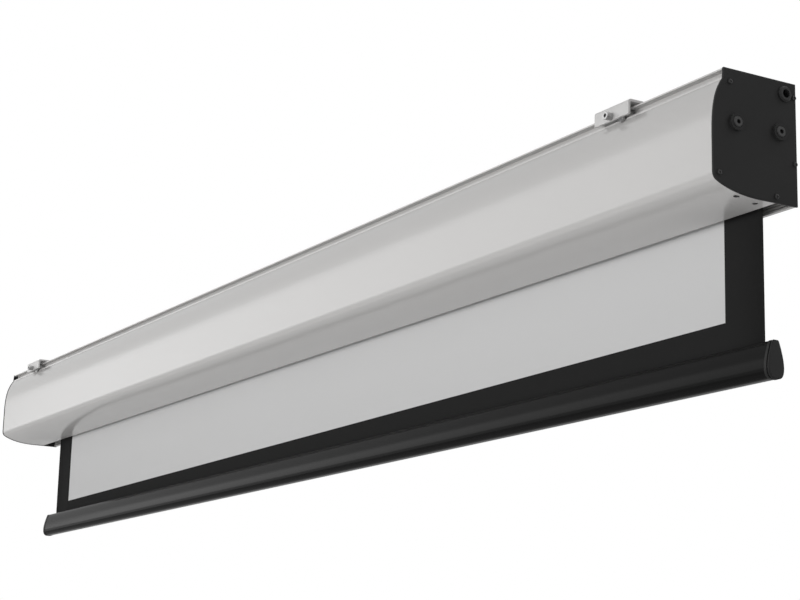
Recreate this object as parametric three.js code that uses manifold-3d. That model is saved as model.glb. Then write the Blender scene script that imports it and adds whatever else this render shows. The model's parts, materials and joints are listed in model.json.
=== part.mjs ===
// Motorized projector screen: a long case with a roller, a tubular motor, a cloth with black
// borders, a weight bar and two brackets that slide along the case.
// Lengths are in millimetres. X runs along the case, Y towards the wall and Z up.
// The origin lies on the wall, level with the top of the brackets, at the middle of the case.
// Inside this file the pieces are placed from the back lower edge of the case.
import * as THREE from "three";
import { mergeVertices } from "three/addons/utils/BufferGeometryUtils.js";
import Module from "manifold-3d";

const wasm = await Module();
wasm.setup();

// Clearances
const seatGap = 0.3;
const screwGap = 0.3;
const overrun = 2;

// Case
const caseLength = 2330;
const caseHeight = 145;
const caseDepth = 121.5;
const capThickness = 4;
const capProud = 0.6;
const capEdge = 0.8;
const coverWall = 2;
const railWall = 2.2;
const flangeThickness = 1.8;
const flangeReach = 105;
const channelHeight = 8.6;
const channelDepth = 8;
const shelfThickness = 1.6;
const noseStep = 0.9;
const tongueHook = 4;
const lipDepth = 29.8;
const lipHeight = 6;
const lipWall = 1.6;
const footRibs = 4;
const footPitch = 3.6;
const footRibHeight = 2.6;
const footRibDepth = 2.8;
const accessRadius = 3.5;
const accessReach = 20;

// Front curve of the case, as shares of the sizes that it joins
const flatTopShare = 0.474;
const flatBottomShare = 0.158;
const cornerDepthShare = 0.955;
const cornerHeightShare = 0.086;
const cornerPullShare = 0.107;
const undersideFlatShare = 0.43;
const undersidePullShares = [0.84, 0.034];
const undersideEaseShare = 0.66;
const browPullShare = 0.536;
const nosePullShares = [0.615, 0.202];

// Screws through the end caps into the extrusions
const portHole = 1.9;
const portWall = 1.3;
const portWeb = 1.6;
const panHeadRadius = 3.1;
const panHeadHeight = 2.2;
const panRimHeight = 0.9;
const panDomeRadius = 1.6;
const panDomeEdge = 0.45;
const panShankRadius = 1.6;
const panShankLength = 16;
const crossWidth = 0.9;
const crossLength = 3.6;
const crossDepth = 1.1;
const frontPortHeight = 20.9;
const frontPortInset = 7.4;
const nosePortInset = 8.8;
const lipPortInset = 2.4;
const lipPortHeight = 6.8;
const backPortInset = 3.7;
const backPortRise = 49;
const backPortDrop = 17.3;

// Roller, cloth and the plates that carry them
const rollerDepth = 57.6;
const rollerHeight = 82.9;
const tubeRadius = 32;
const tubeWall = 1.6;
const tubeRibWidth = 7;
const tubeRibHeight = 2.4;
const clothThickness = 0.45;
const woundTurns = 7;
const borderThickness = 0.2;
const borderWidth = 67;
const clothMarginRight = 35;
const clothMarginLeft = 87;
const barDrop = 151.9;
const bottomBorder = 29;
const plateThickness = 3;
const plateHalfLength = 42;
const plateHalfHeight = 25;
const bossSpacing = 62.6;
const bossRadius = 9.9;
const bossHeight = 3.6;
const socketHeadRadius = 6.4;
const socketHeadHeight = 5.6;
const socketHeadStand = 1.1;
const socketHeadEdge = 0.9;
const socketShankRadius = 3.9;
const socketFlat = 2.9;
const socketDepth = 3;

// Motor
const motorHeadRadius = 28;
const motorHeadLength = 19;
const motorHeadEdge = 1.5;
const motorRadius = 22.5;
const motorLength = 500;
const studSize = 10;
const crownLength = 10;
const crownInset = 3;
const outputRadius = 7;
const outputSides = 6;
const motorGroove = 1.2;
const motorGrooveWidth = 3;
const gearboxLength = 150;
const outputLength = 26;
const wheelLength = 20;
const wheelInset = 3;
const limitScrewRadius = 3;
const limitScrewLength = 15;
const limitScrewSocket = 1.7;
const limitScrewSocketDepth = 3;
const limitScrewStand = 3;
const limitScrews = [
  { name: "limit_screw_upper", fromPlate: 6, offset: -21.4 },
  { name: "limit_screw_lower", fromPlate: 12, offset: 10.6 },
];

// Idler end
const tubeEndGap = 8;
const plugLength = 40;
const plugFlange = 2.5;
const bearingRadius = 11;
const bearingLength = 8;
const pinRadius = 5;
const pinLength = 34;
const pinCollarRadius = 10;
const pinCollarLength = 2;
const plugBoreGap = 0.6;

// Cable grommet
const grommetDepth = 17.4;
const grommetHeight = 129.8;
const grommetHole = 5;
const grommetNeck = 7;
const grommetFlange = 9.3;
const grommetStand = 3.6;
const grommetEdge = 1.8;
const grommetClip = 8;
const grommetClipLength = 2;

// Weight bar
const barHeight = 43.1;
const barHalfWidth = 11;
const barTopHalfWidth = 4.2;
const barTopEdge = 1.2;
const barWall = 1.7;
const barOverhangRight = 18.5;
const barOverhangLeft = 42;
const barCapLength = 8.7;
const barCapPlate = 3.4;
const barCapCollar = 4;
const barCapProud = 0.5;
const barCapEdge = 1.2;
const barPlugLength = 15;
const hemRodRadius = 3;
const hemDrop = 8.6;
const barSlotHalfWidth = 1.5;
const hollowTop = 17;
const barUpperShares = [0.57, 0.27];
const barShoulderShare = 0.52;
const barWidestShare = 0.72;
const barLowerShare = 0.9;
const barFootShares = [0.72, 0.3];

// Brackets
const bracketWidth = 67;
const bracketThickness = 3;
const bracketBend = 4;
const bracketRise = 8;
const bracketFrontHeight = 18.6;
const bracketFrontGap = 6;
const bracketRearHeight = 48;
const bracketInsets = { right: 195.5, left: 143 };
const slotWidth = 7;
const topSlotLength = 40;
const topSlotDepth = 57;
const rearSlotLength = 16;
const rearSlotDrop = 30;
const blockHalfWidth = 24;
const hookPlace = 13.6;
const hookHalfWidth = 6.1;
const hookHeight = 5.4;
const hookThickness = 2.8;
const boltHeadRadius = 5;
const boltHeadHeight = 5.6;
const boltShankRadius = 3;
const bushLength = 3.9;
const bushRadius = 4.6;
const boltHeadEdge = 0.5;
const boltEndGap = 0.8;

// Colours and surfaces
const finishes = {
  shell: { color: 0xd2d2cf, roughness: 0.42, metalness: 0 },
  cap: { color: 0x232323, roughness: 0.62, metalness: 0 },
  blackSteel: { color: 0x2c2c2c, roughness: 0.4, metalness: 0.6 },
  zincSteel: { color: 0xb4b6b6, roughness: 0.35, metalness: 0.9 },
  bracketPaint: { color: 0xc9cac6, roughness: 0.45, metalness: 0 },
  rubber: { color: 0x1d1d1d, roughness: 0.8, metalness: 0 },
  aluminium: { color: 0xb9bbbd, roughness: 0.35, metalness: 0.9 },
  motorSteel: { color: 0xa9adae, roughness: 0.4, metalness: 0.85 },
  motorPlastic: { color: 0x34363a, roughness: 0.55, metalness: 0 },
  whiteCloth: { color: 0xd0d0d0, roughness: 0.9, metalness: 0 },
  blackCloth: { color: 0x1e1e1e, roughness: 0.9, metalness: 0 },
  barPaint: { color: 0x1b1b1b, roughness: 0.35, metalness: 0.1 },
  barPlastic: { color: 0x242424, roughness: 0.5, metalness: 0 },
  redPlastic: { color: 0xb03a32, roughness: 0.5, metalness: 0 },
};

// Sizes that follow from the ones above
const caseHalf = caseLength / 2;
const innerEnd = caseHalf - capThickness;
const topFace = caseHeight - capProud;
const channelTop = topFace - flangeThickness;
const channelBottom = channelTop - channelHeight;
const shelfUnder = channelBottom - shelfThickness;
const noseHeight = shelfUnder - seatGap;
const noseDepth = flangeReach + noseStep;
const channelBack = -flangeReach + channelDepth;
const hookFront = channelBack + shelfThickness + seatGap;
const tongueBack = hookFront + coverWall;
const flatTop = flatTopShare * caseHeight;
const flatBottom = flatBottomShare * caseHeight;
const portRadius = portHole + portWall;
const backPortHeights = [backPortRise, caseHeight - backPortDrop];
const socketSeat = bossHeight + socketHeadStand - socketHeadHeight;
const socketShankLength = capThickness + plateThickness + socketSeat - seatGap;
const rollRadius = tubeRadius + seatGap + woundTurns * clothThickness;
const clothFront = -rollerDepth + rollRadius + seatGap;
const clothMiddle = clothFront + clothThickness / 2;
const clothRight = caseHalf - clothMarginRight;
const clothLeft = -caseHalf + clothMarginLeft;
const plateInner = innerEnd - plateThickness;
const motorHeadInner = plateInner - motorHeadLength;
const tubeRight = motorHeadInner - seatGap;
const tubeLeft = -plateInner + tubeEndGap;
const tubeBore = tubeRadius - tubeWall;
const motorInner = motorHeadInner - motorLength;
const barRight = clothRight + barOverhangRight;
const barLeft = clothLeft - barOverhangLeft;
const hemOuter = hemRodRadius + seatGap + clothThickness;
const bracketTop = topFace + bracketRise;
const wallPlane = seatGap + bracketThickness;
const bracketFront = -flangeReach - bracketFrontGap - bracketThickness;
const boltHeight = (channelTop + channelBottom) / 2;

// Geometry helpers

// A three.js geometry as a solid.
function solid(geometry) {
  const plain = new THREE.BufferGeometry();
  plain.setAttribute("position", geometry.getAttribute("position"));
  plain.setIndex(geometry.getIndex());
  const merged = mergeVertices(plain);
  const mesh = new wasm.Mesh({
    numProp: 3,
    vertProperties: merged.attributes.position.array,
    triVerts: new Uint32Array(merged.index.array),
  });
  return new wasm.Manifold(mesh);
}

// A solid as a three.js geometry.
function surface(body) {
  const mesh = body.getMesh();
  const geometry = new THREE.BufferGeometry();
  geometry.setAttribute("position", new THREE.BufferAttribute(mesh.vertProperties, 3));
  geometry.setIndex(new THREE.BufferAttribute(mesh.triVerts, 1));
  const faceted = geometry.toNonIndexed();
  faceted.computeVertexNormals();
  return faceted;
}

function join(...geometries) {
  return surface(geometries.map(solid).reduce((a, b) => a.add(b)));
}

function cut(geometry, ...tools) {
  return surface(tools.map(solid).reduce((a, b) => a.subtract(b), solid(geometry)));
}

// A section in the Y-Z plane, drawn as a shape, run along X from one place to another.
const sectionToX = new THREE.Matrix4().makeBasis(
  new THREE.Vector3(0, 1, 0),
  new THREE.Vector3(0, 0, 1),
  new THREE.Vector3(1, 0, 0),
);

function extruded(shape, from, to, curveSegments = 12) {
  const options = { depth: to - from, bevelEnabled: false, curveSegments };
  const geometry = new THREE.ExtrudeGeometry(shape, options);
  return geometry.applyMatrix4(sectionToX).translate(from, 0, 0);
}

// The same with chamfered rims, inside the same outline and length.
function chamfered(shape, from, to, edge, curveSegments = 12) {
  const options = {
    depth: to - from - 2 * edge,
    bevelEnabled: true,
    bevelThickness: edge,
    bevelSize: edge,
    bevelOffset: -edge,
    bevelSegments: 1,
    curveSegments,
  };
  const geometry = new THREE.ExtrudeGeometry(shape, options);
  return geometry.applyMatrix4(sectionToX).translate(from + edge, 0, 0);
}

function polygon(points) {
  return new THREE.Shape(points.map(([y, z]) => new THREE.Vector2(y, z)));
}

// A rectangular section from its two corners.
function rectangle(y0, z0, y1, z1) {
  return polygon([[y0, z0], [y1, z0], [y1, z1], [y0, z1]]);
}

function rodX(radius, from, to, y = 0, z = 0, sides = 24) {
  const rod = new THREE.CylinderGeometry(radius, radius, to - from, sides);
  return rod.rotateZ(-Math.PI / 2).translate((from + to) / 2, y, z);
}

function rodY(radius, from, to, x = 0, z = 0, sides = 24) {
  const rod = new THREE.CylinderGeometry(radius, radius, to - from, sides);
  return rod.translate(x, (from + to) / 2, z);
}

function rodZ(radius, from, to, x = 0, y = 0, sides = 24) {
  const rod = new THREE.CylinderGeometry(radius, radius, to - from, sides);
  return rod.rotateX(Math.PI / 2).translate(x, y, (from + to) / 2);
}

function block(x0, y0, z0, x1, y1, z1) {
  const box = new THREE.BoxGeometry(x1 - x0, y1 - y0, z1 - z0);
  return box.translate((x0 + x1) / 2, (y0 + y1) / 2, (z0 + z1) / 2);
}

// A body turned about the X axis. Its profile is a list of [radius, x] that ends on the axis or
// closes on itself.
function turned(profile, sides = 32) {
  const points = profile.map(([radius, along]) => new THREE.Vector2(radius, along));
  return new THREE.LatheGeometry(points, sides).rotateZ(-Math.PI / 2);
}

// A ring about the X axis.
function ring(inner, outer, from, to, sides = 32) {
  return turned([[inner, from], [outer, from], [outer, to], [inner, to], [inner, from]], sides);
}

// A line of points moved to its left by a distance.
function beside(points, distance) {
  const normals = points.slice(1).map((p, i) => {
    const step = new THREE.Vector2().subVectors(p, points[i]).normalize();
    return new THREE.Vector2(-step.y, step.x);
  });
  return points.map((p, i) => {
    const before = normals[Math.max(i - 1, 0)];
    const after = normals[Math.min(i, normals.length - 1)];
    const reach = distance / (1 + before.dot(after));
    return p.clone().addScaledVector(before, reach).addScaledVector(after, reach);
  });
}

// A strip of even thickness on the left of a line of points.
function strip(points, thickness) {
  return new THREE.Shape([...points, ...beside(points, thickness).reverse()]);
}

// A slot with round ends, along its first axis.
function obround(length, width) {
  const reach = (length - width) / 2;
  const shape = new THREE.Shape();
  shape.absarc(reach, 0, width / 2, -Math.PI / 2, Math.PI / 2);
  shape.absarc(-reach, 0, width / 2, Math.PI / 2, (3 * Math.PI) / 2);
  return shape;
}

const assembly = new THREE.Group();

function add(parent, name, geometry, finish) {
  const material = new THREE.MeshStandardMaterial(finish);
  const mesh = new THREE.Mesh(geometry, material);
  mesh.name = name;
  parent.add(mesh);
  return mesh;
}

// Case section

// The front of the case, from the nose under the channel down to the slot.
function frontLine() {
  const line = new THREE.Path();
  const noseRun = caseDepth - noseDepth;
  const noseRise = noseHeight - flatTop;
  line.moveTo(-noseDepth, noseHeight);
  line.bezierCurveTo(
    -noseDepth - nosePullShares[0] * noseRun,
    noseHeight - nosePullShares[1] * noseRise,
    -caseDepth,
    flatTop + browPullShare * noseRise,
    -caseDepth,
    flatTop,
  );
  line.lineTo(-caseDepth, flatBottom);
  line.quadraticCurveTo(
    -caseDepth,
    cornerPullShare * caseHeight,
    -cornerDepthShare * caseDepth,
    cornerHeightShare * caseHeight,
  );
  line.bezierCurveTo(
    -undersidePullShares[0] * caseDepth,
    undersidePullShares[1] * caseHeight,
    -undersideEaseShare * caseDepth,
    0,
    -undersideFlatShare * caseDepth,
    0,
  );
  line.lineTo(-lipDepth, 0);
  return line.getPoints(12);
}

const front = frontLine();
const frontPort = [-caseDepth + frontPortInset, frontPortHeight];
const lipPort = [-lipDepth - lipPortInset, lipPortHeight];
const nosePort = [-noseDepth + nosePortInset, noseHeight - portRadius];
const backPorts = backPortHeights.map((height) => [-backPortInset, height]);
const frontPorts = [nosePort, frontPort, lipPort];
const ports = [...frontPorts, ...backPorts];

function portRing([y, z]) {
  return rodX(portRadius, -innerEnd, innerEnd, y, z, 16);
}

function portBore([y, z]) {
  return rodX(portHole, -innerEnd - overrun, innerEnd + overrun, y, z, 12);
}

// The curved front and underside, one extrusion with its screw ports and access holes.
function frontCover() {
  const along = (shape) => extruded(shape, -innerEnd, innerEnd);
  const skin = along(strip(beside(front, capProud), coverWall));
  const tongue = along(rectangle(-noseDepth, noseHeight - coverWall, tongueBack, noseHeight));
  const hook = along(rectangle(hookFront, noseHeight - coverWall, tongueBack, noseHeight + tongueHook));
  const lip = along(rectangle(-lipDepth - lipWall, capProud, -lipDepth, lipHeight));
  const web = along(
    rectangle(
      -caseDepth + coverWall,
      frontPortHeight - portWeb / 2,
      frontPort[0],
      frontPortHeight + portWeb / 2,
    ),
  );
  const lipWeb = along(
    rectangle(lipPort[0], lipHeight - lipWall, -lipDepth, lipHeight),
  );
  const rings = frontPorts.map(portRing);
  const shell = join(skin, tongue, hook, lip, web, lipWeb, ...rings);
  const accessHoles = limitScrews.map(({ fromPlate, offset }) =>
    rodZ(accessRadius, -overrun, accessReach, plateInner - fromPlate, offset - rollerDepth),
  );
  return cut(shell, ...frontPorts.map(portBore), ...accessHoles);
}

// Back wall with its ribbed foot, top and bracket channel, one extrusion.
function backRail() {
  const along = (shape) => extruded(shape, -innerEnd, innerEnd);
  const wall = along(rearWall());
  const flange = along(rectangle(-flangeReach, channelTop, 0, topFace));
  const channelWeb = along(
    rectangle(channelBack, shelfUnder, channelBack + shelfThickness, topFace),
  );
  const shelf = along(
    rectangle(-flangeReach, shelfUnder, channelBack + shelfThickness, channelBottom),
  );
  const rail = join(wall, flange, channelWeb, shelf, ...backPorts.map(portRing));
  return cut(rail, ...backPorts.map(portBore));
}

// The back wall's section. Ribs stiffen its foot on the side of the cloth.
function rearWall() {
  const points = [[0, capProud], [0, topFace], [-railWall, topFace]];
  for (let rib = footRibs - 1; rib >= 0; rib -= 1) {
    const low = capProud + rib * footPitch;
    const high = low + footRibHeight;
    points.push([-railWall, high]);
    points.push([-railWall - footRibDepth, high]);
    points.push([-railWall - footRibDepth, low]);
    points.push([-railWall, low]);
  }
  points.pop();
  return polygon(points);
}

add(assembly, "front_cover", frontCover(), finishes.shell);
add(assembly, "back_rail", backRail(), finishes.shell);

// End caps

const bossPlaces = [-bossSpacing / 2, bossSpacing / 2].map((offset) => -rollerDepth + offset);

function capOutline() {
  const corner = [
    new THREE.Vector2(0, 0),
    new THREE.Vector2(0, caseHeight),
    new THREE.Vector2(-flangeReach, caseHeight),
  ];
  return new THREE.Shape([...corner, ...front.slice(0, -1)]);
}

// An end cap with its outer face at X = 0. Places along X are counted outwards from that face, on
// either side of the case.
function endCap(side, withGrommet) {
  const span = (...places) => places.map((x) => x * side).sort((a, b) => a - b);
  const plate = chamfered(capOutline(), ...span(-capThickness, 0), capEdge);
  const through = span(-capThickness - overrun, bossHeight + overrun);
  const bosses = bossPlaces.map((y) => rodX(bossRadius, ...span(-capEdge, bossHeight), y, rollerHeight));
  const holes = bossPlaces.flatMap((y) => [
    rodX(socketShankRadius + screwGap, ...through, y, rollerHeight),
    rodX(socketHeadRadius + screwGap, ...span(socketSeat, bossHeight + overrun), y, rollerHeight),
  ]);
  const screwHoles = ports.map(([y, z]) => rodX(panShankRadius + screwGap, ...through, y, z, 12));
  const grommetBore = rodX(grommetNeck + seatGap, ...through, -grommetDepth, grommetHeight);
  return cut(join(plate, ...bosses), ...holes, ...screwHoles, ...(withGrommet ? [grommetBore] : []));
}

// A pan head screw that points along -X, its head seated at X = 0.
function panScrew() {
  const body = turned([
    [0, -panShankLength],
    [panShankRadius, -panShankLength],
    [panShankRadius, 0],
    [panHeadRadius, 0],
    [panHeadRadius, panRimHeight],
    [panHeadRadius - panDomeEdge, panHeadHeight - panDomeEdge],
    [panDomeRadius, panHeadHeight],
    [0, panHeadHeight],
  ], 12);
  const floor = panHeadHeight - crossDepth;
  const top = panHeadHeight + overrun;
  const half = crossLength / 2;
  const thin = crossWidth / 2;
  return cut(
    body,
    block(floor, -half, -thin, top, half, thin),
    block(floor, -thin, -half, top, thin, half),
  );
}

// A socket head screw that points along -X, its head seated at X = 0.
function socketScrew() {
  const body = turned([
    [0, -socketShankLength],
    [socketShankRadius, -socketShankLength],
    [socketShankRadius, 0],
    [socketHeadRadius, 0],
    [socketHeadRadius, socketHeadHeight - socketHeadEdge],
    [socketHeadRadius - socketHeadEdge, socketHeadHeight],
    [0, socketHeadHeight],
  ], 24);
  const floor = socketHeadHeight - socketDepth;
  return cut(body, rodX(socketFlat, floor, socketHeadHeight + overrun, 0, 0, 6));
}

const portNames = ["nose", "front", "lip", "back_low", "back_high"];
const ends = [
  { side: 1, label: "right", cap: "end_cap_motor", withGrommet: true },
  { side: -1, label: "left", cap: "end_cap_idler", withGrommet: false },
];

for (const { side, label, cap, withGrommet } of ends) {
  const end = new THREE.Group();
  end.position.x = side * caseHalf;
  assembly.add(end);
  add(end, cap, endCap(side, withGrommet), finishes.cap);
  ports.forEach(([y, z], i) => {
    const screw = add(end, `cap_screw_${label}_${portNames[i]}`, panScrew(), finishes.blackSteel);
    screw.position.set(0, y, z);
    screw.rotation.z = side > 0 ? 0 : Math.PI;
  });
  bossPlaces.forEach((y, i) => {
    const name = `plate_bolt_${label}_${i ? "rear" : "front"}`;
    const screw = add(end, name, socketScrew(), finishes.blackSteel);
    screw.position.set(side * socketSeat, y, rollerHeight);
    screw.rotation.z = side > 0 ? 0 : Math.PI;
  });
}

// The rubber ring that the mains lead passes through.
function grommet() {
  return turned([
    [grommetHole, -capThickness - seatGap - grommetClipLength],
    [grommetClip, -capThickness - seatGap - grommetClipLength],
    [grommetClip, -capThickness - seatGap],
    [grommetNeck, -capThickness - seatGap],
    [grommetNeck, 0],
    [grommetFlange, 0],
    [grommetFlange, grommetStand - grommetEdge],
    [grommetFlange - grommetEdge, grommetStand],
    [grommetHole, grommetStand],
    [grommetHole, -capThickness - seatGap - grommetClipLength],
  ], 24);
}

add(assembly, "cable_grommet", grommet(), finishes.rubber).position.set(
  caseHalf,
  -grommetDepth,
  grommetHeight,
);

// Plates and motor, on the roller's axis

const axis = new THREE.Group();
axis.position.set(0, -rollerDepth, rollerHeight);
assembly.add(axis);

// A stadium plate behind an end cap, with its bolt holes.
function rollerPlate(from, to) {
  const plate = new THREE.Shape();
  const round = plateHalfHeight;
  plate.absarc(plateHalfLength - round, 0, round, -Math.PI / 2, Math.PI / 2);
  plate.absarc(-plateHalfLength + round, 0, round, Math.PI / 2, (3 * Math.PI) / 2);
  const holes = [-1, 1].map((way) =>
    rodX(socketShankRadius + screwGap, from - overrun, to + overrun, (way * bossSpacing) / 2, 0),
  );
  return cut(extruded(plate, from, to), ...holes);
}

function motorPlate() {
  const socket = studSize / 2 + seatGap;
  const opening = block(plateInner - overrun, -socket, -socket, innerEnd + overrun, socket, socket);
  return cut(rollerPlate(plateInner, innerEnd), opening);
}

// The fixed head of the motor, with a square stud and the bores of the two limit screws.
function motorHead() {
  const body = turned([
    [0, motorHeadInner],
    [motorHeadRadius - motorHeadEdge, motorHeadInner],
    [motorHeadRadius, motorHeadInner + motorHeadEdge],
    [motorHeadRadius, plateInner - motorHeadEdge],
    [motorHeadRadius - motorHeadEdge, plateInner],
    [0, plateInner],
  ]);
  const half = studSize / 2;
  const stud = block(plateInner - overrun, -half, -half, innerEnd - seatGap, half, half);
  const bores = limitScrews.map((screw) => {
    const { x, y, top } = limitScrewPlace(screw);
    return rodZ(limitScrewRadius + screwGap, -motorHeadRadius - overrun, top + seatGap, x, y);
  });
  return cut(join(body, stud), ...bores);
}

// Where a limit screw stands in the motor head, from the roller's axis.
function limitScrewPlace({ fromPlate, offset }) {
  const skin = -Math.sqrt(motorHeadRadius ** 2 - offset ** 2);
  const bottom = skin - limitScrewStand;
  return { x: plateInner - fromPlate, y: offset, bottom, top: bottom + limitScrewLength };
}

function limitScrew() {
  const body = rodZ(limitScrewRadius, 0, limitScrewLength);
  return cut(body, rodZ(limitScrewSocket, -overrun, limitScrewSocketDepth, 0, 0, 6));
}

add(axis, "motor_plate", motorPlate(), finishes.zincSteel);
add(axis, "motor_head", motorHead(), finishes.motorPlastic);
for (const screw of limitScrews) {
  const { x, y, bottom } = limitScrewPlace(screw);
  add(axis, screw.name, limitScrew(), finishes.redPlastic).position.set(x, y, bottom);
}

// Idler end

// The pin stands on the idler plate and carries the bearing in the roller's plug.
function idlerPin() {
  const from = -plateInner;
  return turned([
    [0, from],
    [pinCollarRadius, from],
    [pinCollarRadius, from + pinCollarLength],
    [pinRadius, from + pinCollarLength],
    [pinRadius, from + pinLength],
    [0, from + pinLength],
  ], 24);
}

add(axis, "idler_plate", rollerPlate(-innerEnd, -plateInner), finishes.zincSteel);
add(axis, "idler_pin", idlerPin(), finishes.zincSteel);

// Roller, which turns

const roller = new THREE.Group();
axis.add(roller);

// Four bars along the inside of the roller's bore, grown by a clearance.
function boreRibs(from, to, gap) {
  const half = tubeRibWidth / 2 + gap;
  const low = tubeBore - tubeRibHeight - gap;
  const high = tubeRadius - tubeWall / 2;
  return [0, 1, 2, 3].map((turn) =>
    block(from, low, -half, to, high, half).rotateX((turn * Math.PI) / 2),
  );
}

// The roller's tube, with the ribs that the motor drives it by.
function rollerTube() {
  return join(ring(tubeBore, tubeRadius, tubeLeft, tubeRight, 40), ...boreRibs(tubeLeft, tubeRight, 0));
}

// A wheel that fits the roller's bore, with slots for its ribs, and a bore of its own.
function keyedWheel(bore, from, to, sides = 32) {
  const disc = rodX(tubeBore - seatGap, from, to, 0, 0, 40);
  const past = [from - overrun, to + overrun];
  return cut(disc, rodX(bore, ...past, 0, 0, sides), ...boreRibs(...past, seatGap));
}

// The motor's housing, with a groove where the gearbox begins.
function motorTube() {
  const groove = motorInner + gearboxLength;
  const waist = motorRadius - motorGroove;
  return turned([
    [0, motorInner],
    [motorRadius - motorHeadEdge, motorInner],
    [motorRadius, motorInner + motorHeadEdge],
    [motorRadius, groove - motorGrooveWidth],
    [waist, groove - motorGrooveWidth],
    [waist, groove],
    [motorRadius, groove],
    [motorRadius, motorHeadInner],
    [0, motorHeadInner],
  ]);
}

// The plug in the idler end of the tube, with a seat for the bearing.
function idlerPlug() {
  const outer = tubeBore - seatGap;
  const seat = tubeLeft - plugFlange + bearingLength + seatGap;
  const bore = pinRadius + plugBoreGap;
  const outside = tubeLeft - plugFlange;
  const plug = turned([
    [bearingRadius + seatGap, outside],
    [tubeRadius, outside],
    [tubeRadius, tubeLeft],
    [outer, tubeLeft],
    [outer, tubeLeft + plugLength],
    [bore, tubeLeft + plugLength],
    [bore, seat],
    [bearingRadius + seatGap, seat],
    [bearingRadius + seatGap, outside],
  ]);
  return cut(plug, ...boreRibs(tubeLeft - seatGap, tubeLeft + plugLength + overrun, seatGap));
}

// The cloth on the tube: its outside is one turn of a spiral, with the step where it leaves.
function woundCloth() {
  const steps = 48;
  const outline = [];
  for (let i = 0; i < steps; i += 1) {
    const share = i / (steps - 1);
    const radius = rollRadius - clothThickness * share;
    const angle = 2 * Math.PI * (i / steps);
    outline.push(new THREE.Vector2(radius * Math.cos(angle), radius * Math.sin(angle)));
  }
  const roll = extruded(new THREE.Shape(outline), clothLeft, clothRight);
  return cut(roll, rodX(tubeRadius + seatGap, clothLeft - overrun, clothRight + overrun, 0, 0, 40));
}

const wheelFrom = motorInner - seatGap - wheelInset - wheelLength;
const crownFrom = motorHeadInner - crownInset - crownLength;
const bearingFrom = tubeLeft - plugFlange;

add(axis, "motor_tube", motorTube(), finishes.motorSteel);
add(roller, "roller_tube", rollerTube(), finishes.aluminium);
add(roller, "wound_cloth", woundCloth(), finishes.whiteCloth);
add(
  roller,
  "limit_crown",
  keyedWheel(motorRadius + seatGap, crownFrom, crownFrom + crownLength),
  finishes.motorPlastic,
);
add(
  roller,
  "drive_wheel",
  keyedWheel(outputRadius + seatGap, wheelFrom, wheelFrom + wheelLength, outputSides),
  finishes.motorPlastic,
);
add(
  roller,
  "output_shaft",
  rodX(outputRadius, motorInner - seatGap - outputLength, motorInner - seatGap, 0, 0, outputSides),
  finishes.motorSteel,
);
add(roller, "idler_plug", idlerPlug(), finishes.motorPlastic);
add(
  roller,
  "idler_bearing",
  ring(pinRadius + seatGap, bearingRadius, bearingFrom, bearingFrom + bearingLength, 24),
  finishes.zincSteel,
);

// Cloth and weight bar, which move down together

const bar = new THREE.Group();
bar.position.set(0, clothMiddle, -barDrop);
assembly.add(bar);

// One side of the bar's section, from its top to its foot, measured from its top.
function barSide() {
  const flare = barHalfWidth - barTopHalfWidth;
  const line = new THREE.Path();
  line.moveTo(barTopHalfWidth - barTopEdge, 0);
  line.lineTo(barTopHalfWidth, -barTopEdge);
  line.bezierCurveTo(
    barTopHalfWidth + barUpperShares[0] * flare,
    -barUpperShares[1] * barHeight,
    barHalfWidth,
    -barShoulderShare * barHeight,
    barHalfWidth,
    -barWidestShare * barHeight,
  );
  line.bezierCurveTo(
    barHalfWidth,
    -barLowerShare * barHeight,
    barFootShares[0] * barHalfWidth,
    -barHeight,
    barFootShares[1] * barHalfWidth,
    -barHeight,
  );
  return line.getPoints(6);
}

// The bar's whole section, drawn in by a distance and cut off above a level.
function barSection(inset, level = 0) {
  const side = beside(barSide(), -inset);
  const first = side.findIndex((p) => p.y < level);
  const right = side.slice(first);
  if (first > 0) {
    const above = side[first - 1];
    const share = (level - above.y) / (right[0].y - above.y);
    right.unshift(above.clone().lerp(right[0], share));
  }
  const left = right.map((p) => new THREE.Vector2(-p.x, p.y)).reverse();
  return new THREE.Shape([...left, ...right]);
}

function weightBar() {
  const from = barLeft + barCapLength;
  const to = barRight - barCapLength;
  const body = extruded(barSection(0), from, to);
  const past = [from - overrun, to + overrun];
  const hollow = extruded(barSection(barWall, -hollowTop), ...past);
  const pocket = rodX(hemOuter + seatGap, ...past, 0, -hemDrop, 20);
  const slot = extruded(rectangle(-barSlotHalfWidth, -hemDrop, barSlotHalfWidth, overrun), ...past);
  return cut(body, hollow, pocket, slot);
}

// A bar end cap with its outer face at X = 0 and its plug along -X. A groove parts its plate from
// the collar that meets the bar.
function barCap() {
  const around = barSection(-barCapProud, barCapProud);
  const plate = chamfered(around, -barCapPlate, 0, barCapEdge);
  const neck = extruded(barSection(barCapProud), -barCapLength, -barCapEdge);
  const collar = extruded(around, -barCapLength, -barCapLength + barCapCollar);
  const plug = extruded(
    barSection(barWall + seatGap, -hollowTop - seatGap),
    -barCapLength - barPlugLength,
    -barCapLength + overrun,
  );
  return join(plate, neck, collar, plug);
}

// The cloth hangs from the roll to the bar, where its hem goes round the rod.
function screenCloth() {
  const half = clothThickness / 2;
  const top = rollerHeight + barDrop;
  const sheet = extruded(rectangle(-half, -hemDrop + hemRodRadius, half, top), clothLeft, clothRight);
  const loop = rodX(hemOuter, clothLeft, clothRight, 0, -hemDrop, 20);
  const inside = [clothLeft - overrun, clothRight + overrun];
  return cut(join(sheet, loop), rodX(hemRodRadius + seatGap, ...inside, 0, -hemDrop, 20));
}

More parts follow.
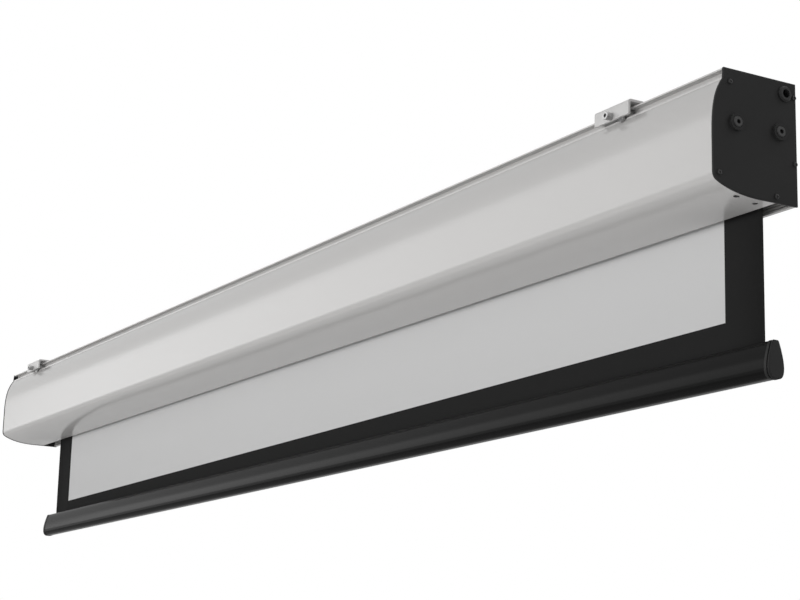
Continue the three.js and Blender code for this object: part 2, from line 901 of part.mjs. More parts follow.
// The black layer on the face of the cloth, down both sides and along the bottom.
function blackBorder() {
  const front = -clothThickness / 2;
  const back = front - borderThickness;
  const top = rollerHeight + barDrop;
  const layer = (x0, x1, z0, z1) => block(x0, back, z0, x1, front, z1);
  const foot = -barSlotHalfWidth;
  return join(
    layer(clothLeft, clothLeft + borderWidth, foot, top),
    layer(clothRight - borderWidth, clothRight, foot, top),
    layer(clothLeft, clothRight, foot, bottomBorder),
  );
}

add(bar, "weight_bar", weightBar(), finishes.barPaint);
add(bar, "bar_cap_right", barCap(), finishes.barPlastic).position.x = barRight;
const leftCap = add(bar, "bar_cap_left", barCap(), finishes.barPlastic);
leftCap.position.x = barLeft;
leftCap.rotation.z = Math.PI;
add(bar, "hem_rod", rodX(hemRodRadius, clothLeft, clothRight, 0, -hemDrop, 16), finishes.zincSteel);
add(bar, "screen_cloth", screenCloth(), finishes.whiteCloth);
add(bar, "black_border", blackBorder(), finishes.blackCloth);

// Brackets, which slide along the channel

// The bent plate over the case, with a slot for the ceiling and one for the wall.
function bracketPlate() {
  const line = new THREE.Path();
  const quarter = Math.PI / 2;
  line.moveTo(bracketFront, bracketTop - bracketFrontHeight);
  line.lineTo(bracketFront, bracketTop - bracketBend);
  line.absarc(bracketFront + bracketBend, bracketTop - bracketBend, bracketBend, Math.PI, quarter, true);
  line.absarc(wallPlane - bracketBend, bracketTop - bracketBend, bracketBend, quarter, 0, true);
  line.lineTo(wallPlane, bracketTop - bracketRearHeight);
  const half = bracketWidth / 2;
  const plate = extruded(strip(line.getPoints(4), -bracketThickness), -half, half);
  const reach = bracketThickness + overrun;
  const slotOptions = { depth: 2 * reach, bevelEnabled: false, curveSegments: 6 };
  const topSlot = new THREE.ExtrudeGeometry(obround(topSlotLength, slotWidth), slotOptions);
  topSlot.rotateZ(quarter).translate(0, -topSlotDepth, bracketTop - reach);
  const rearSlot = new THREE.ExtrudeGeometry(obround(rearSlotLength, slotWidth), slotOptions);
  rearSlot.rotateX(quarter).translate(0, wallPlane + reach, bracketTop - rearSlotDrop);
  const boltHole = rodY(
    boltShankRadius + screwGap,
    bracketFront - overrun,
    bracketFront + reach,
    0,
    boltHeight,
  );
  return cut(plate, topSlot, rearSlot, boltHole);
}

// The hook's outline is a half disc that hangs from the block, seen along Y.
function hookPad(from, low) {
  const pad = new THREE.Shape();
  pad.moveTo(hookPlace + hookHalfWidth, low + overrun);
  pad.lineTo(hookPlace - hookHalfWidth, low + overrun);
  pad.lineTo(hookPlace - hookHalfWidth, low);
  pad.absellipse(hookPlace, low, hookHalfWidth, hookHeight, Math.PI, 2 * Math.PI, false, 0);
  const options = { depth: hookThickness, bevelEnabled: false, curveSegments: 12 };
  return new THREE.ExtrudeGeometry(pad, options)
    .rotateX(Math.PI / 2)
    .translate(0, from + hookThickness, 0);
}

// The block in the channel that the bolt pulls the bracket to, with a round hook over the nose.
function clampBlock() {
  const from = bracketFront + bracketThickness;
  const back = channelBack - seatGap;
  const low = channelBottom + seatGap;
  const body = block(
    -blockHalfWidth,
    from,
    low,
    blockHalfWidth,
    back,
    channelTop - seatGap,
  );
  const hook = hookPad(from, low);
  const bore = rodY(boltShankRadius + screwGap, from - overrun, back + overrun, 0, boltHeight);
  return cut(join(body, hook), bore);
}

function clampBolt() {
  const seat = bracketFront - bushLength;
  const top = seat - boltHeadHeight;
  const head = new THREE.LatheGeometry(
    [
      new THREE.Vector2(0, top),
      new THREE.Vector2(boltHeadRadius - boltHeadEdge, top),
      new THREE.Vector2(boltHeadRadius, top + boltHeadEdge),
      new THREE.Vector2(boltHeadRadius, seat),
      new THREE.Vector2(0, seat),
    ],
    24,
  ).translate(0, 0, boltHeight);
  const shank = rodY(boltShankRadius, seat - overrun, channelBack - boltEndGap, 0, boltHeight, 16);
  const socket = rodY(socketFlat, top - overrun, top + socketDepth, 0, boltHeight, 6);
  return cut(join(head, shank), socket);
}

function clampBush() {
  const outer = rodY(bushRadius, bracketFront - bushLength, bracketFront, 0, boltHeight, 24);
  const past = [bracketFront - bushLength - overrun, bracketFront + overrun];
  return cut(outer, rodY(boltShankRadius + screwGap, ...past, 0, boltHeight, 20));
}

for (const { side, label } of ends) {
  const bracket = new THREE.Group();
  bracket.position.x = side * (caseHalf - bracketInsets[label]);
  assembly.add(bracket);
  add(bracket, `bracket_${label}`, bracketPlate(), finishes.bracketPaint);
  add(bracket, `clamp_block_${label}`, clampBlock(), finishes.blackSteel);
  add(bracket, `clamp_bolt_${label}`, clampBolt(), finishes.zincSteel);
  add(bracket, `clamp_bush_${label}`, clampBush(), finishes.zincSteel);
}

assembly.position.set(0, -wallPlane, -bracketTop);

const screen = new THREE.Group();
screen.add(assembly);
export default screen;
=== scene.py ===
# %% [markdown]
# # A motorized projector screen
# The long case holds a roller with a tubular motor in it. A white cloth with black borders comes
# out of a slot under the case, and a weight bar pulls it straight. Two brackets slide along a
# channel in the front of the case. The construction is already made as solids, in metres, so this
# lesson adds what solids don't have: rounded edges, finishes, real cloth, light and a camera.

# %% Load the model
import json
import math

import bpy
from mathutils import Euler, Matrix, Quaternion, Vector


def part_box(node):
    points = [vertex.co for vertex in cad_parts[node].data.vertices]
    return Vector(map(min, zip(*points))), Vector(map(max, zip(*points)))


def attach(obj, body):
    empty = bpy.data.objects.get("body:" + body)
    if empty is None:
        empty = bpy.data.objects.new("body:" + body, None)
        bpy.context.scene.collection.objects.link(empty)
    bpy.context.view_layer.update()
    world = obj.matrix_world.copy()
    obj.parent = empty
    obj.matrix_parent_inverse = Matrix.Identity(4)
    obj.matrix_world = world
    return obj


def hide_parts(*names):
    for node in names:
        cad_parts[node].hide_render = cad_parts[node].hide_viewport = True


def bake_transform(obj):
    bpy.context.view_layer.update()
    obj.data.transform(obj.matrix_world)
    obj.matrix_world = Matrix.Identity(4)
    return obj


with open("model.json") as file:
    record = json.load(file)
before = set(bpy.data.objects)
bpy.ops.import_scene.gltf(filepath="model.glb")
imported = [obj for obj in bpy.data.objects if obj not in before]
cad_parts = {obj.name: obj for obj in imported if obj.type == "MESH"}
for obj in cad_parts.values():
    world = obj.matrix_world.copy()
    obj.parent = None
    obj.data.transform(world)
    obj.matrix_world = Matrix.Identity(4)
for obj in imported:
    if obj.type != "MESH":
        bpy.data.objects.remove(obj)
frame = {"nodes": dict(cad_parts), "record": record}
nodes = frame["nodes"]
record = frame["record"]
scene = bpy.context.scene
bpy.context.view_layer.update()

# %% [markdown]
# ## The camera
# The photograph looks up at the screen from below, past its motor end, through a long lens. The
# place and the angles below were solved from the straight edges of the case, so that each edge
# falls where it does in the picture. Azimuth 0 looks at the wall, and the roll tips the picture.

# %% Camera
FOCAL_LENGTH_MM = 85.272
CAMERA_PLACE = Vector((2.70483, -1.41885, -0.74167))
AZIMUTH, ELEVATION, ROLL = (math.radians(angle) for angle in (59.6597, -12.9755, 1.4535))

camera = bpy.data.objects.new("camera", bpy.data.cameras.new("camera"))
scene.collection.objects.link(camera)
scene.camera = camera
camera.data.lens = FOCAL_LENGTH_MM
camera.location = CAMERA_PLACE
camera.rotation_mode = "QUATERNION"
aim = Euler((math.pi / 2 - ELEVATION, 0, AZIMUTH)).to_quaternion()
camera.rotation_quaternion = aim @ Quaternion((0, 0, 1), ROLL)
cap_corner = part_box("end_cap_motor")[1]
print("camera stands", round((CAMERA_PLACE - cap_corner).length, 2), "m from the case")

# %% [markdown]
# ## Shader helpers
# A material in Blender is a small graph of nodes. A few helpers keep the graphs short to read:
# they add a node and wire its inputs, work out a sum, and start a node group, which is a graph
# with named inputs and outputs that several materials can share.

# %% Node helpers
def add_node(tree, kind, **inputs):
    """A node whose inputs are numbers, colours or other nodes' sockets."""
    node = tree.nodes.new(kind)
    for key, value in inputs.items():
        wire(tree, node.inputs[key.replace("_", " ")], value)
    return node


def wire(tree, socket, value):
    """Links a socket to another one, or sets its value."""
    if isinstance(value, bpy.types.NodeSocket):
        tree.links.new(value, socket)
    else:
        socket.default_value = value


def math_node(tree, operation, first, second=0.0):
    """The result of a sum on one or two numbers or sockets."""
    node = tree.nodes.new("ShaderNodeMath")
    node.operation = operation
    wire(tree, node.inputs[0], first)
    wire(tree, node.inputs[1], second)
    return node.outputs[0]


def start_group(name, inputs, outputs):
    """A node group with number sockets, and its input and output nodes."""
    group = bpy.data.node_groups.new(name, "ShaderNodeTree")
    for label, value in inputs.items():
        socket = group.interface.new_socket(label, in_out="INPUT", socket_type="NodeSocketFloat")
        socket.default_value = value
    for label in outputs:
        group.interface.new_socket(label, in_out="OUTPUT", socket_type="NodeSocketFloat")
    return group, group.nodes.new("NodeGroupInput"), group.nodes.new("NodeGroupOutput")


# %% [markdown]
# ## Shared surface effects
# Each of these effects is made once, as a group, and every material that has it sets its own
# values. They could come from pictures, but a picture blurs close up and repeats. Noise and waves
# in the object's own coordinates stay sharp, and their sizes are real ones, in metres.
#
# Paint, moulded plastic and metal all have a fine grain and a slow, cloudy unevenness.

# %% Grain group
def grain_group():
    """Fine bumps of a given size, and slow patches, both from 0 to 1."""
    sizes = {"Grain Size": 0.001, "Patch Size": 0.2}
    group, given, result = start_group("surface grain", sizes, ["Height", "Patches"])
    place = group.nodes.new("ShaderNodeTexCoord").outputs["Object"]
    for size, detail, label in (("Grain Size", 2.0, "Height"), ("Patch Size", 1.0, "Patches")):
        count = math_node(group, "DIVIDE", 1.0, given.outputs[size])
        noise = add_node(group, "ShaderNodeTexNoise", Vector=place, Scale=count, Detail=detail)
        group.links.new(noise.outputs["Fac"], result.inputs[label])
    return group


grain = grain_group()
print("made the group:", grain.name)

# %% [markdown]
# Cloth has threads that cross. As faces they would be far too many, so they are only relief: the
# product of two waves is high where threads cross and low between them.

# %% Weave group
def weave_group():
    """Threads that cross at a given pitch, from 0 to 1, along X and Z."""
    group, given, result = start_group("woven threads", {"Pitch": 0.0006}, ["Height"])
    place = group.nodes.new("ShaderNodeTexCoord").outputs["Object"]
    parts = add_node(group, "ShaderNodeSeparateXYZ", Vector=place)
    turns = math_node(group, "DIVIDE", 2 * math.pi, given.outputs["Pitch"])
    waves = []
    for axis in "XZ":
        angle = math_node(group, "MULTIPLY", parts.outputs[axis], turns)
        waves.append(math_node(group, "SINE", angle))
    crossing = math_node(group, "MULTIPLY", *waves)
    half = math_node(group, "MULTIPLY", crossing, 0.5)
    group.links.new(math_node(group, "ADD", half, 0.5), result.inputs["Height"])
    return group


weave = weave_group()
print("made the group:", weave.name)

# %% [markdown]
# Drawn, rolled or extruded metal has lines along its length. They are noise that is stretched far
# along X, which is the length of the whole screen.

# %% Drawn metal group
LINE_STRETCH = 0.02


def drawn_group():
    """Lines along X, as an extruded or drawn metal has, from 0 to 1."""
    group, given, result = start_group("drawn lines", {"Line Size": 0.0004}, ["Height"])
    place = group.nodes.new("ShaderNodeTexCoord").outputs["Object"]
    drawn_out = add_node(group, "ShaderNodeMapping", Vector=place)
    drawn_out.inputs["Scale"].default_value = (LINE_STRETCH, 1.0, 1.0)
    count = math_node(group, "DIVIDE", 1.0, given.outputs["Line Size"])
    noise = add_node(group, "ShaderNodeTexNoise", Vector=drawn_out.outputs["Vector"], Scale=count)
    group.links.new(noise.outputs["Fac"], result.inputs["Height"])
    return group


drawn = drawn_group()
print("made the group:", drawn.name)

# %% [markdown]
# ## Finishes
# Each material slot of the model gets a Principled shader. What is the same all over the surface
# is typed on the shader's own sockets. What changes over the surface, such as the slight cloudiness
# of a coat of paint, comes from the groups through a Mix node for the colour, a Map Range node for
# the roughness, and a Bump node for the relief.

# %% Finish helpers
finishes = {}


def start_finish(slot, **sockets):
    """A material for a slot of the model, with values on its shader's sockets."""
    material = bpy.data.materials.new(slot)
    material.use_nodes = True
    tree = material.node_tree
    shader = tree.nodes["Principled BSDF"]
    for key, value in sockets.items():
        shader.inputs[key.replace("_", " ")].default_value = value
    finishes[slot] = material
    return tree, shader


def use_group(tree, group, **values):
    """A shared effect in a material, with this material's own values."""
    node = tree.nodes.new("ShaderNodeGroup")
    node.node_tree = group
    for key, value in values.items():
        node.inputs[key.replace("_", " ")].default_value = value
    return node


def vary_colour(tree, shader, mask, low, high):
    """The base colour goes from one colour to another with a mask."""
    mix = tree.nodes.new("ShaderNodeMix")
    mix.data_type = "RGBA"
    colours = [socket for socket in mix.inputs if socket.type == "RGBA"]
    colours[0].default_value = (*low, 1)
    colours[1].default_value = (*high, 1)
    tree.links.new(mask, mix.inputs[0])
    result = next(socket for socket in mix.outputs if socket.type == "RGBA")
    tree.links.new(result, shader.inputs["Base Color"])


def vary_roughness(tree, shader, mask, low, high):
    """The roughness goes from one value to another with a mask."""
    spread = add_node(tree, "ShaderNodeMapRange", Value=mask, To_Min=low, To_Max=high)
    tree.links.new(spread.outputs["Result"], shader.inputs["Roughness"])


def add_relief(tree, shader, height, depth, strength=1.0):
    """Bumps as deep as the given depth in metres."""
    bump = add_node(tree, "ShaderNodeBump", Height=height, Distance=depth, Strength=strength)
    tree.links.new(bump.outputs["Normal"], shader.inputs["Normal"])


def shade(value, warmth=0.0):
    """A grey, a little warmer where warmth is above zero."""
    return (value * (1 + warmth), value, value * (1 - warmth))


# %% [markdown]
# ### Painted metal
# The case, the brackets and the weight bar are powder coated. The coat is satin: it mirrors what
# stands close to it, such as the cloth under the case, and it has a very fine orange peel. One
# flat colour would look drawn, so slow and very faint clouds vary the colour and the gloss. The
# page round the screen is white and is mirrored from all sides, so the black bar gets less gloss.

# %% Painted metal
PEEL_SIZE, PAINT_PATCH = 0.0016, 0.35
COAT_DARK, COAT_LIGHT = 0.985, 1.015
COAT_GLOSSY, COAT_DULL = 0.9, 1.1


def paint(slot, value, warmth, roughness, peel, gloss=0.5):
    """A coat of paint: its grey, how warm, how rough, how deep its orange peel, how glossy."""
    tree, shader = start_finish(slot, Specular_IOR_Level=gloss)
    effect = use_group(tree, grain, Grain_Size=PEEL_SIZE, Patch_Size=PAINT_PATCH)
    low, high = shade(value * COAT_DARK, warmth), shade(value * COAT_LIGHT, warmth)
    smooth, rough = roughness * COAT_GLOSSY, roughness * COAT_DULL
    vary_colour(tree, shader, effect.outputs["Patches"], low, high)
    vary_roughness(tree, shader, effect.outputs["Patches"], smooth, rough)
    add_relief(tree, shader, effect.outputs["Height"], peel)


paint("shell_paint", value=0.60, warmth=0.015, roughness=0.18, peel=0.000004)
paint("bracket_paint", value=0.66, warmth=0.01, roughness=0.32, peel=0.000006)
paint("bar_paint", value=0.009, warmth=0.0, roughness=0.16, peel=0.000006, gloss=0.042)
print("painted:", list(finishes))

# %% [markdown]
# ### Plastic and rubber
# The end caps are moulded in black with a fine matt texture, so that fingerprints don't show. The
# motor's parts are smoother, and the grommet is rubber, which hardly shines at all. One function
# makes them all: only the colour, the shine and the grain differ.

# %% Plastic and rubber
MOULD_PATCH = 0.05
MOULD_SPREAD = 0.06
MOULD_DARK, MOULD_LIGHT = 0.9, 1.1


def moulded(slot, colour, roughness, grain_size, relief, gloss=0.5):
    """Plastic or rubber: its colour, how rough, how wide and deep its grain is, how glossy."""
    tree, shader = start_finish(slot, Specular_IOR_Level=gloss)
    effect = use_group(tree, grain, Grain_Size=grain_size, Patch_Size=MOULD_PATCH)
    low, high = ([part * change for part in colour] for change in (MOULD_DARK, MOULD_LIGHT))
    smooth, rough = roughness - MOULD_SPREAD, roughness + MOULD_SPREAD
    vary_colour(tree, shader, effect.outputs["Patches"], low, high)
    vary_roughness(tree, shader, effect.outputs["Height"], smooth, rough)
    add_relief(tree, shader, effect.outputs["Height"], relief)


RED = (0.40, 0.035, 0.025)
moulded("cap_plastic", shade(0.030), roughness=0.5, grain_size=0.0009, relief=0.00004, gloss=0.1)
moulded("bar_plastic", shade(0.018), roughness=0.5, grain_size=0.0008, relief=0.00002, gloss=0.2)
moulded("motor_plastic", shade(0.035), roughness=0.5, grain_size=0.0008, relief=0.00002)
moulded("red_plastic", RED, roughness=0.35, grain_size=0.0006, relief=0.00001)
moulded("rubber", shade(0.022), roughness=0.55, grain_size=0.0007, relief=0.00003, gloss=0.3)
print("with plastic and rubber:", len(finishes), "finishes")

# %% [markdown]
# ### Bare metal
# Bolts and plates are zinc plated, the cap's screws are blackened, and the roller's tube is mill
# finished aluminium with lines along its length from the extrusion die. The clamp blocks slide in
# the channel, which has rubbed their blackening down to grey steel.

# %% Bare metal
DIE_LINE, DIE_LINE_DEPTH = 0.0005, 0.000008
METAL_GRAIN, METAL_PATCH = 0.0008, 0.02
METAL_DARK, METAL_LIGHT = 0.9, 1.05
LINE_GLOSS, LINE_DULL = 0.08, 0.1


def metal(slot, value, roughness, metallic=1.0):
    """Bare or plated metal: its grey, how rough, and how much of it is bare metal."""
    tree, shader = start_finish(slot, Metallic=metallic)
    lines = use_group(tree, drawn, Line_Size=DIE_LINE)
    cloud = use_group(tree, grain, Grain_Size=METAL_GRAIN, Patch_Size=METAL_PATCH)
    low, high = shade(value * METAL_DARK), shade(value * METAL_LIGHT)
    smooth, rough = roughness - LINE_GLOSS, roughness + LINE_DULL
    vary_colour(tree, shader, cloud.outputs["Patches"], low, high)
    vary_roughness(tree, shader, lines.outputs["Height"], smooth, rough)
    add_relief(tree, shader, lines.outputs["Height"], DIE_LINE_DEPTH)


metal("zinc_steel", value=0.42, roughness=0.28)
metal("aluminium", value=0.62, roughness=0.36)
metal("motor_steel", value=0.42, roughness=0.42)
metal("black_steel", value=0.04, roughness=0.30, metallic=0.5)
metal("worn_steel", value=0.40, roughness=0.34)
print("with metal:", len(finishes), "finishes")

# %% [markdown]
# ### Cloth
# The projection side is matt white on fine glass fibre threads, and scatters light evenly. The
# borders are matt black, to swallow the picture's edge. Coated cloth could be made with sheen, as
# velvet is, but this one has no fuzz and almost no gloss: its specular level is near zero.

# %% Cloth finishes
THREAD_PITCH, THREAD_DEPTH = 0.0006, 0.00003
THREAD_STRENGTH = 0.6
CLOTH_PATCH = 0.5


def cloth(slot, value):
    """Coated cloth of one grey, with its threads as relief."""
    tree, shader = start_finish(slot, Roughness=0.95, Specular_IOR_Level=0.04)
    effect = use_group(tree, grain, Patch_Size=CLOTH_PATCH)
    threads = use_group(tree, weave, Pitch=THREAD_PITCH)
    low, high = shade(value * COAT_DARK), shade(value * COAT_LIGHT)
    vary_colour(tree, shader, effect.outputs["Patches"], low, high)
    add_relief(tree, shader, threads.outputs["Height"], THREAD_DEPTH, THREAD_STRENGTH)


cloth("white_cloth", value=0.68)
cloth("black_cloth", value=0.024)
print("with cloth:", len(finishes), "finishes")

# %% [markdown]
# ## Dress the solids
# A solid from construction is a shell of flat triangles with knife edges. Three modifiers turn it
# into a made thing and leave its own mesh alone: Weld joins the triangles, a planar Decimate
# clears the lines across flat faces, and Bevel rounds each real edge a little, so that it catches
# light. Smooth shading then blends the facets of the curves. Where an edge is tiny, out of sight
# or already rounded in the solid, Edge Split stands in for Bevel and only keeps the edge crisp.

# %% Edges and finishes
EDGE_RADIUS = {
    "shell_paint": 0.0003,
    "bracket_paint": 0.0005,
    "cap_plastic": 0.0003,
    "bar_plastic": 0.0003,
}
WELD_DISTANCE = 0.000002
FLAT_ANGLE = math.radians(0.4)
SHARP_ANGLE = math.radians(28)


def dress(node, finish, edge):
    """Gives a solid its finish, smooth curves and softened edges."""
    mesh = node.data
    custom = mesh.attributes.get("custom_normal")
    if custom:
        mesh.attributes.remove(custom)
    mesh.materials.clear()
    mesh.materials.append(finish)
    mesh.polygons.foreach_set("use_smooth", [True] * len(mesh.polygons))
    weld = node.modifiers.new("weld", "WELD")
    weld.merge_threshold = WELD_DISTANCE
    flat = node.modifiers.new("flat faces", "DECIMATE")
    flat.decimate_type = "DISSOLVE"
    flat.angle_limit = FLAT_ANGLE
    if edge:
        bevel = node.modifiers.new("edges", "BEVEL")
        bevel.width = edge
        bevel.segments = 2
        bevel.limit_method = "ANGLE"
        bevel.angle_limit = SHARP_ANGLE
        bevel.harden_normals = True
    else:
        split = node.modifiers.new("sharp edges", "EDGE_SPLIT")
        split.split_angle = SHARP_ANGLE


for row in record["subparts"]:
    slot = row["material_slot"]
    dress(nodes[row["node"]], finishes[slot], EDGE_RADIUS.get(slot, 0))
for block in ("clamp_block_right", "clamp_block_left"):
    nodes[block].data.materials[0] = finishes["worn_steel"]
print("dressed", len(record["subparts"]), "solids")

# %% [markdown]
# The two holes under the case, for the key of the limit screws, are drilled after painting. Their
# walls are bare metal that mirrors the dark inside of the case, so they look dark from below. The
# cover stays one solid: it gets a second material, and the faces round each hole's middle use it.

# %% Drilled holes
HOLE_RADIUS = 0.0035
HOLE_REACH = HOLE_RADIUS * 1.1
STEEP = 0.5

cover = nodes["front_cover"].data
cover.materials.append(finishes["aluminium"])
holes = [row for row in record["physics"]["openings"] if row["name"].startswith("access")]
drilled = 0
for hole in holes:
    low, high = (Vector(corner) for corner in hole["box_m"])
    centre = (low + high) / 2
    for face in cover.polygons:
        if abs(face.normal.z) < STEEP and (face.center - centre).xy.length < HOLE_REACH:
            face.material_index = 1
            drilled += 1
print("bare faces in", len(holes), "drilled holes:", drilled)

# %% [markdown]
# ## The cloth
# The screen is one sheet: white in front with black borders printed on it, and black behind, so
# that no light passes. It leaves the back of the roll, hangs down through the slot and ends in a
# hem round a rod in the weight bar. The weight pulls it almost flat, so its slight waves are
# modelled: a simulation of a taut sheet would only add noise. In the photograph the white
# field's lower edge isn't quite level, so the bottom border is higher at the motor end.

# %% Sizes of the cloth
CLOTH_THICKNESS = 0.00045
LOOSE_FIT = 0.0003
BOTTOM_BORDER_RIGHT = 0.0344
BOTTOM_BORDER_LEFT = 0.0202

cloth_low, cloth_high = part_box("screen_cloth")
rod_low, rod_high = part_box("hem_rod")
bar_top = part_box("weight_bar")[1].z
rod_centre = (rod_low + rod_high) / 2
cloth_plane = rod_centre.y
cloth_width = cloth_high.x - cloth_low.x
cloth_top = cloth_high.z
hem_radius = (rod_high.z - rod_low.z) / 2 + LOOSE_FIT + CLOTH_THICKNESS / 2

# %% [markdown]
# A real sheet under tension still has waves of a few tenths of a millimetre, which a lamp from one
# side shows. Two sine waves of unlike lengths add up to a pattern that doesn't repeat within the
# width of the cloth, and they fade out at the roll and at the bar, where the cloth is held.

# %% Waves
WAVE_DEPTH = 0.0004
WAVE_LENGTHS = (0.83, 0.47)


def wave(x, z):
    """How far the sheet stands out of its plane: nothing at the roll and at the bar."""
    share = (cloth_top - z) / (cloth_top - bar_top)
    hold = math.sin(math.pi * min(max(share, 0), 1))
    swell = sum(math.sin(2 * math.pi * x / length + length) for length in WAVE_LENGTHS)
    return WAVE_DEPTH * hold * swell / len(WAVE_LENGTHS)


half_way = (cloth_top + bar_top) / 2
print("the middle of the cloth stands out by", round(wave(0, half_way) * 1000, 2), "mm")

# %% [markdown]
# The sheet is built of columns of places. Each column runs from the roll down to the rod and once
# round it, so that the hem is the same piece of cloth. A column has so many rows of white and so
# many of border, and its rows follow the slant of the white field's lower edge.

# %% Columns of the cloth
WHITE_ROWS = 24
BORDER_ROWS = 6
HEM_STEPS = 24


def spaced(start, end, count):
    """Places from start up to end, without end."""
    return [start + (end - start) * i / count for i in range(count)]


def cloth_column(x):
    """The places of the sheet's middle surface at one X, from the roll down and round the rod."""
    share = (x - cloth_low.x) / cloth_width
    border = BOTTOM_BORDER_LEFT + (BOTTOM_BORDER_RIGHT - BOTTOM_BORDER_LEFT) * share
    white_end = bar_top + border
    rod_top = rod_centre.z + hem_radius
    heights = spaced(cloth_top, white_end, WHITE_ROWS) + spaced(white_end, rod_top, BORDER_ROWS)
    places = [(x, cloth_plane + wave(x, z), z) for z in heights]
    for step in range(HEM_STEPS + 1):
        angle = math.pi / 2 + 2 * math.pi * step / HEM_STEPS
        y = cloth_plane + hem_radius * math.cos(angle)
        places.append((x, y, rod_centre.z + hem_radius * math.sin(angle)))
    return places


print("a column has", len(cloth_column(0)), "places")

# %% [markdown]
# Side by side, the columns make one mesh. The borders are printed on the real cloth, so they aren't
# pieces of their own: the faces at both sides and below the white field use the black material.

# %% Hanging cloth
SIDE_BORDER = 0.067
WHITE_COLUMNS = 72


def hanging_cloth():
    """The sheet: columns of places side by side, black at both sides and along the bottom."""
    white_low, white_high = cloth_low.x + SIDE_BORDER, cloth_high.x - SIDE_BORDER
    white_across = spaced(white_low, white_high, WHITE_COLUMNS)
    across = [cloth_low.x, *white_across, white_high, cloth_high.x]
    columns = [cloth_column(x) for x in across]
    tall = len(columns[0])
    verts = [place for column in columns for place in column]
    faces, black = [], []
    for column in range(len(across) - 1):
        for row in range(tall - 1):
            first = column * tall + row
            faces.append((first, first + 1, first + tall + 1, first + tall))
            black.append(row >= WHITE_ROWS or column in (0, len(across) - 2))
    mesh = bpy.data.meshes.new("projection_cloth")
    mesh.from_pydata(verts, [], faces)
    mesh.polygons.foreach_set("material_index", [int(dark) for dark in black])
    mesh.polygons.foreach_set("use_smooth", [True] * len(faces))
    return mesh


sheet = bpy.data.objects.new("projection_cloth", hanging_cloth())
scene.collection.objects.link(sheet)
print("hanging cloth:", len(sheet.data.polygons), "faces")

# %% [markdown]
# The mesh has no thickness yet, and a real sheet has a white side and a black one. A Solidify
# modifier gives it both. The faces at the back take the material two places further down the list,
# so the back is black all over.

# %% Thickness of the cloth
for slot in ("white_cloth", "black_cloth", "black_cloth", "black_cloth"):
    sheet.data.materials.append(finishes[slot])
thick = sheet.modifiers.new("thickness", "SOLIDIFY")
thick.thickness = CLOTH_THICKNESS
thick.offset = 0
thick.material_offset = 2
print("materials:", [material.name for material in sheet.data.materials])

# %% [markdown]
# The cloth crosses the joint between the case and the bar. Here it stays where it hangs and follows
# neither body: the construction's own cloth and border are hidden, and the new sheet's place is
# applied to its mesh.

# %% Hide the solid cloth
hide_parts("screen_cloth", "black_border")
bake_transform(sheet)

# %% [markdown]
# ## The roll
# The rest of the cloth is wound on the tube. Its section is a spiral that starts on the tube and
# gains a little less than one thickness in each turn, so that the roll stays in the space that
# construction left for it. A plain tube would do from outside, but its end would show no layers.

# %% The spiral
TURNS = 7
STEPS_PER_TURN = 60

roller_low, roller_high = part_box("roller_tube")
axis_y = (roller_low.y + roller_high.y) / 2
axis_z = (roller_low.z + roller_high.z) / 2
tube_radius = (roller_high.z - roller_low.z) / 2


def spiral():
    """The wound cloth's middle line, from the tube outwards, in Y and Z from the axis."""
    inner = tube_radius + LOOSE_FIT + CLOTH_THICKNESS / 2
    for step in range(TURNS * STEPS_PER_TURN + 1):
        turn = step / STEPS_PER_TURN
        radius = inner + CLOTH_THICKNESS * turn * (TURNS - 1) / TURNS
        angle = 2 * math.pi * turn
        yield radius * math.cos(angle), radius * math.sin(angle)


roll_radius = math.hypot(*list(spiral())[-1])
print("the roll's last turn is", round(roll_radius * 1000, 2), "mm from the axis")

# %% [markdown]
# The spiral is drawn out along X between the roll's two ends and thickened. It is a little thinner
# than the hanging cloth, so that its turns don't touch, and it turns with the roller.

# %% Wound cloth
WRAP_SHARE = 0.8
roll_low, roll_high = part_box("wound_cloth")


def wound_cloth():
    """The spiral as a mesh between the roll's two ends, and how long the cloth on it is."""
    line = list(spiral())
    ends = (roll_low.x, roll_high.x)
    verts = [(x, axis_y + y, axis_z + z) for y, z in line for x in ends]
    faces = [(i, i + 2, i + 3, i + 1) for i in range(0, 2 * len(line) - 2, 2)]
    mesh = bpy.data.meshes.new("cloth_on_roller")
    mesh.from_pydata(verts, [], faces)
    mesh.polygons.foreach_set("use_smooth", [True] * len(faces))
    length = sum(math.dist(a, b) for a, b in zip(line, line[1:]))
    return mesh, length


roll_mesh, roll_length = wound_cloth()
roll = bpy.data.objects.new("cloth_on_roller", roll_mesh)
scene.collection.objects.link(roll)
roll_mesh.materials.append(finishes["white_cloth"])
roll_mesh.materials.append(finishes["black_cloth"])
wrap = roll.modifiers.new("thickness", "SOLIDIFY")
wrap.thickness = CLOTH_THICKNESS * WRAP_SHARE
wrap.offset = 0
wrap.material_offset = 1
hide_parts("wound_cloth")
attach(roll, "roller")
print("wound cloth:", TURNS, "turns,", round(roll_length, 2), "m")

# %% [markdown]
# ## Floor and light
# The screen hangs over a plain pale floor, 2.3 m below the top of its brackets. The floor also
# throws light up to the underside of the case.

# %% Floor
FLOOR_HEIGHT = -2.3
FLOOR_HALF = 30
FLOOR_GREY = 0.7

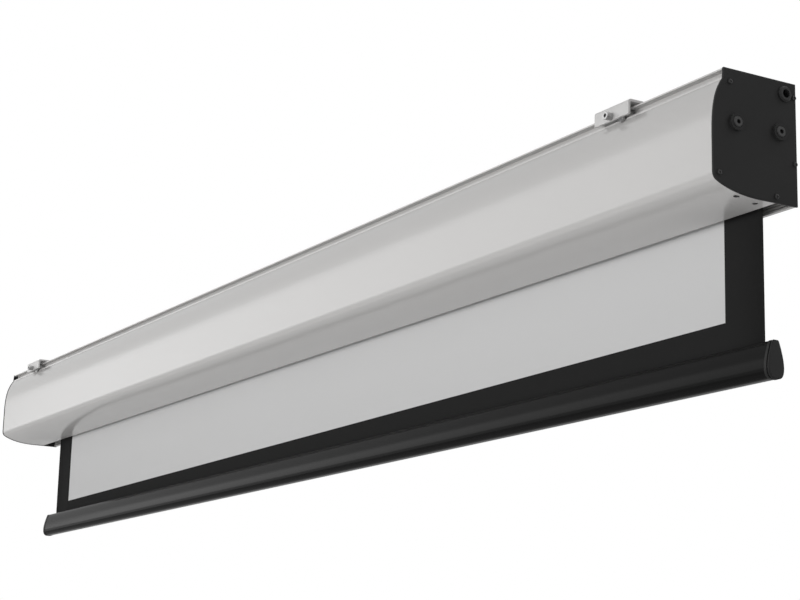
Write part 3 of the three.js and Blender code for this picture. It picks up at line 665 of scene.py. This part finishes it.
floor_mesh = bpy.data.meshes.new("floor")
corners = [(-1, -1), (1, -1), (1, 1), (-1, 1)]
floor_verts = [(FLOOR_HALF * x, FLOOR_HALF * y, FLOOR_HEIGHT) for x, y in corners]
floor_mesh.from_pydata(floor_verts, [], [(0, 1, 2, 3)])
floor = bpy.data.objects.new("floor", floor_mesh)
scene.collection.objects.link(floor)
floor_paint = bpy.data.materials.new("floor")
floor_paint.use_nodes = True
floor_shader = floor_paint.node_tree.nodes["Principled BSDF"]
floor_shader.inputs["Base Color"].default_value = (*shade(FLOOR_GREY), 1)
floor_shader.inputs["Roughness"].default_value = 0.9
floor_mesh.materials.append(floor_paint)
print("floor", 2 * FLOOR_HALF, "m wide, at", FLOOR_HEIGHT, "m")

# %% [markdown]
# The sky is white where the camera, a mirror or a clear surface sees it, as on a printed page. As
# a lamp it is much dimmer and only fills the shadows, so that it doesn't wash out the paint.

# %% Sky
SKY_AS_LAMP = 0.15

world = bpy.data.worlds.new("studio")
scene.world = world
world.use_nodes = True
sky = world.node_tree
sky.nodes.clear()
rays = sky.nodes.new("ShaderNodeLightPath").outputs
seen = math_node(sky, "MAXIMUM", rays["Is Camera Ray"], rays["Is Glossy Ray"])
seen = math_node(sky, "MAXIMUM", seen, rays["Is Transmission Ray"])
strength = add_node(sky, "ShaderNodeMapRange", Value=seen, To_Min=SKY_AS_LAMP, To_Max=1.0)
background = add_node(sky, "ShaderNodeBackground", Strength=strength.outputs["Result"])
background.inputs["Color"].default_value = (1, 1, 1, 1)
output = sky.nodes.new("ShaderNodeOutputWorld")
sky.links.new(background.outputs[0], output.inputs["Surface"])
print("sky as a lamp:", SKY_AS_LAMP)

# %% [markdown]
# Three soft boxes light the screen. A wide, low one in front lights the front of the case and the
# cloth, and leaves the curve above them in half shade. A very large one, far behind and above,
# lights the back, the top and the floor evenly. The third stands at the left, and the satin paint
# mirrors it as a soft bright band along the case and along the bar. Only this one is mirrored.

# %% Soft boxes
def soft_box(name, place, aim, size, radiance, glossy=False):
    """A rectangular lamp at a place, aimed at another, that glows evenly over its whole face."""
    wide, tall = size
    data = bpy.data.lights.new(name, "AREA")
    data.shape = "RECTANGLE"
    data.size, data.size_y = wide, tall
    data.energy = radiance * math.pi * wide * tall
    lamp = bpy.data.objects.new(name, data)
    scene.collection.objects.link(lamp)
    lamp.location = place
    lamp.rotation_euler = (Vector(aim) - Vector(place)).to_track_quat("-Z", "Y").to_euler()
    lamp.visible_camera = False
    lamp.visible_glossy = glossy
    print(name, "of", round(data.energy), "W")


soft_box("front_box", (0.9, -4.5, -0.1), (0.2, 0, -0.15), (6.0, 1.0), radiance=5.6)
soft_box("back_box", (0, 20.0, 27.0), (0, 0, -1.0), (48.0, 24.0), radiance=2.6)
soft_box("side_box", (-8.0, -4.0, 1.7), (-8.0, 0, 1.7), (10.0, 2.2), radiance=1.3, glossy=True)
scene.view_settings.view_transform = "Standard"
